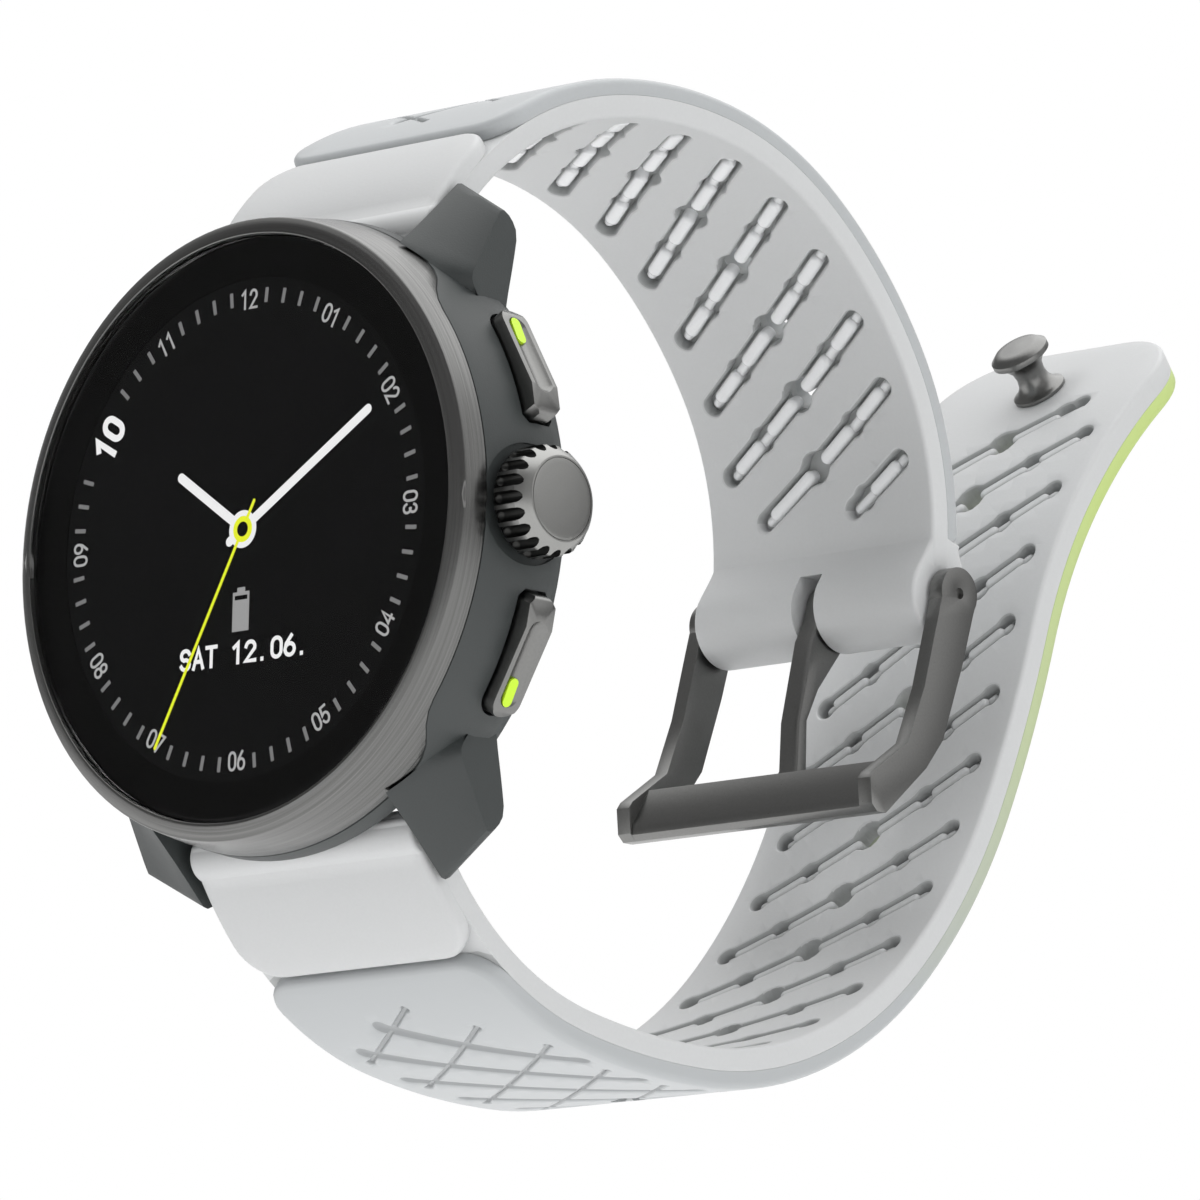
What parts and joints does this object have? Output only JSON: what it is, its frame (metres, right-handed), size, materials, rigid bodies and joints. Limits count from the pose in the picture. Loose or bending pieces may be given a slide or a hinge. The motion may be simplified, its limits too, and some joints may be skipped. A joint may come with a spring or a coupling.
{
  "type": "gps running watch",
  "caption": "Round sports watch with a touch display, a turning and pushing crown, side buttons, an optical sensor back and a silicone strap with a pin buckle and a tail stud.",
  "frame": {"origin": "centre of the flat outer face of the sensor window in the case back, which lies against the wrist", "axes": "+Y out of the case back towards the wrist, so the dial looks along -Y; +Z to 12 o'clock; +X to 3 o'clock, along the crown"},
  "size_m": [0.046, 0.0873, 0.0684],
  "materials": {
    "case_polymer": "matt moulded dark grey polymer with fine grain",
    "bezel_steel": "circular brushed, dark",
    "cover_glass": "polished flat glass",
    "black_seal": "matt",
    "display": "dark display face",
    "inner_polymer": "moulded",
    "antenna": "plated",
    "flex": "amber film",
    "board": "solder mask",
    "shield": "pressed sheet",
    "battery_foil": "laminated foil",
    "motor": "satin",
    "switch": "satin",
    "chip": "moulded",
    "back_steel": "satin",
    "screw_steel": "machined",
    "sensor_window": "polished dark window",
    "emitter": "moulded lens",
    "contact_gold": "gold plated",
    "steel": "turned",
    "dark_metal": "satin, dark coated",
    "lime_accent": "bright lime paint fill",
    "strap_inner": "matt silicone, near white",
    "strap_outer": "translucent light grey silicone",
    "strap_tail": "translucent silicone, grey to lime"
  },
  "bodies": {
    "case": {"mid_case": "case_polymer", "bezel": "bezel_steel", "cover_glass": "cover_glass", "glass_gasket": "black_seal", "display_panel": "display", "inner_frame": "inner_polymer", "gps_antenna": "antenna", "display_flex": "flex", "main_board": "board", "board_shields": "shield", "battery": "battery_foil", "vibration_motor": "motor", "key_flex": "flex", "crown_switch": "switch", "button_switches": "switch", "crown_sensor": "chip", "case_back": "back_steel", "back_gasket": "black_seal", "back_screws": "screw_steel", "sensor_window": "sensor_window", "sensor_board": "board", "sensor_emitters": "emitter", "charging_contacts": "contact_gold", "crown_tube": "steel"},
    "crown_carriage": {"crown_clip": "steel"},
    "crown": {"crown_knob": "dark_metal", "crown_cap": "dark_metal", "crown_stem": "steel", "crown_seals": "black_seal"},
    "upper_button": {"button_upper": "dark_metal", "button_upper_inlay": "lime_accent", "button_upper_seal": "black_seal", "button_upper_clip": "steel"},
    "lower_button": {"button_lower": "dark_metal", "button_lower_inlay": "lime_accent", "button_lower_seal": "black_seal", "button_lower_clip": "steel"},
    "upper_strap": {"strap_upper": "strap_inner", "strap_upper_overlay": "strap_outer", "spring_bar_upper": "steel", "bar_tip_upper": "steel"},
    "upper_release": {"quick_release_upper": "steel"},
    "buckle": {"buckle_frame": "dark_metal", "buckle_pin": "dark_metal"},
    "tongue": {"buckle_tongue": "dark_metal"},
    "lower_strap": {"strap_lower": "strap_inner", "strap_lower_overlay": "strap_tail", "spring_bar_lower": "steel", "bar_tip_lower": "steel", "tail_stud": "dark_metal"},
    "lower_release": {"quick_release_lower": "steel"}
  },
  "joints": [
    {"name": "crown_press", "type": "slide", "parent": "case", "child": "crown_carriage", "axis": [-1, 0, 0], "range_m": [0, 0.0005], "stiffness_N_per_m": 2500, "springref_m": -0.0002},
    {"name": "crown_turn", "type": "hinge", "parent": "crown_carriage", "child": "crown", "pos_m": [0.0228, -0.0055, 0], "axis": [1, 0, 0], "continuous": true},
    {"name": "upper_button_press", "type": "slide", "parent": "case", "child": "upper_button", "axis": [-0.8949, 0, -0.4462], "range_m": [0, 0.0005], "stiffness_N_per_m": 2500, "springref_m": -0.0002},
    {"name": "lower_button_press", "type": "slide", "parent": "case", "child": "lower_button", "axis": [-0.8949, 0, 0.4462], "range_m": [0, 0.0005], "stiffness_N_per_m": 2500, "springref_m": -0.0002},
    {"name": "upper_strap_hinge", "type": "hinge", "parent": "case", "child": "upper_strap", "pos_m": [0, -0.0032, 0.0203], "axis": [1, 0, 0], "range_deg": [-6, 50]},
    {"name": "upper_release_slide", "type": "slide", "parent": "upper_strap", "child": "upper_release", "axis": [-1, 0, 0], "range_m": [0, 0.0014], "stiffness_N_per_m": 700, "springref_m": -0.001},
    {"name": "buckle_hinge", "type": "hinge", "parent": "upper_strap", "child": "buckle", "pos_m": [0, 0.04733, 0.0028], "axis": [1, 0, 0], "range_deg": [-60, 5]},
    {"name": "tongue_hinge", "type": "hinge", "parent": "buckle", "child": "tongue", "pos_m": [0, 0.04733, 0.0028], "axis": [1, 0, 0], "range_deg": [0, 14]},
    {"name": "lower_strap_hinge", "type": "hinge", "parent": "case", "child": "lower_strap", "pos_m": [0, -0.0032, -0.0203], "axis": [-1, 0, 0], "range_deg": [-2, 50]},
    {"name": "lower_release_slide", "type": "slide", "parent": "lower_strap", "child": "lower_release", "axis": [-1, 0, 0], "range_m": [0, 0.0014], "stiffness_N_per_m": 700, "springref_m": -0.001}
  ]
}
